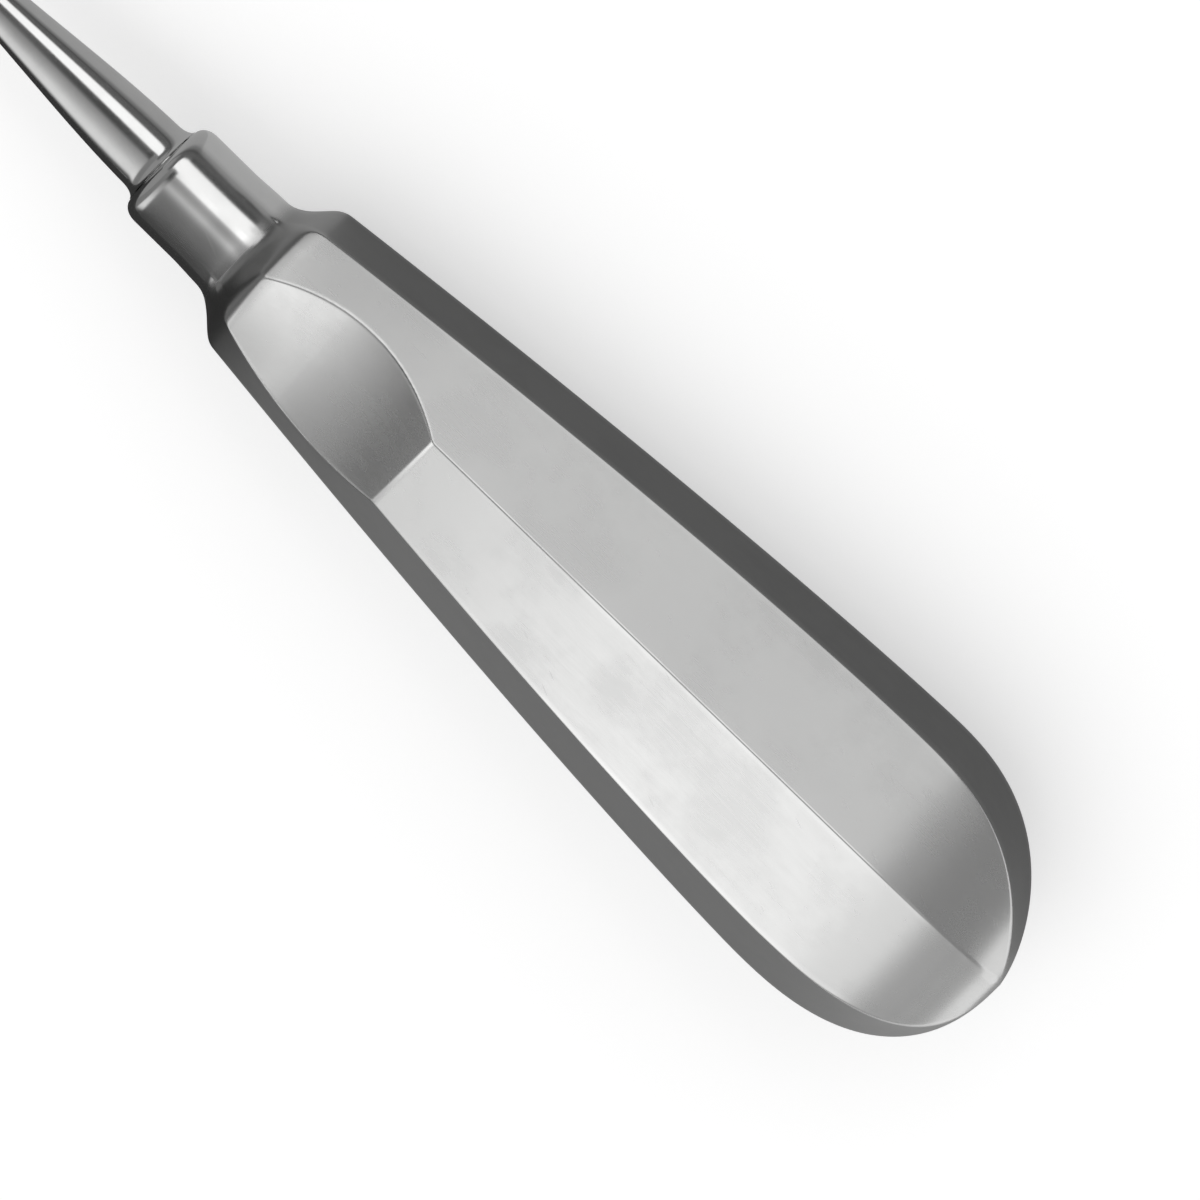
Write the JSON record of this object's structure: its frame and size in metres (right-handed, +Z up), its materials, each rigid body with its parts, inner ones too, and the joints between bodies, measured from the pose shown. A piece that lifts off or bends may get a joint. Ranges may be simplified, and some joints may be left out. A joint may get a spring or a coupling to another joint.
{
  "type": "winged dental elevator",
  "caption": "Hand instrument for loosening teeth: pear-shaped eight-sided steel handle with a thumb rest, round collar, tapering shank and winged gouge blade.",
  "frame": {"origin": "on the wide flat back facet that the tool lies on, below the middle of the handle", "axes": "+X along the tool towards the tip of the blade, +Z up, away from the facet it lies on; the thumb rest faces up"},
  "size_m": [0.157, 0.0224, 0.0189],
  "materials": {
    "satin_steel": "stainless steel, facets ground flat and satin polished, collar polished bright",
    "polished_steel": "stainless steel, mirror polished"
  },
  "bodies": {
    "root": {"handle": "satin_steel", "blade_shank": "polished_steel"}
  },
  "joints": []
}
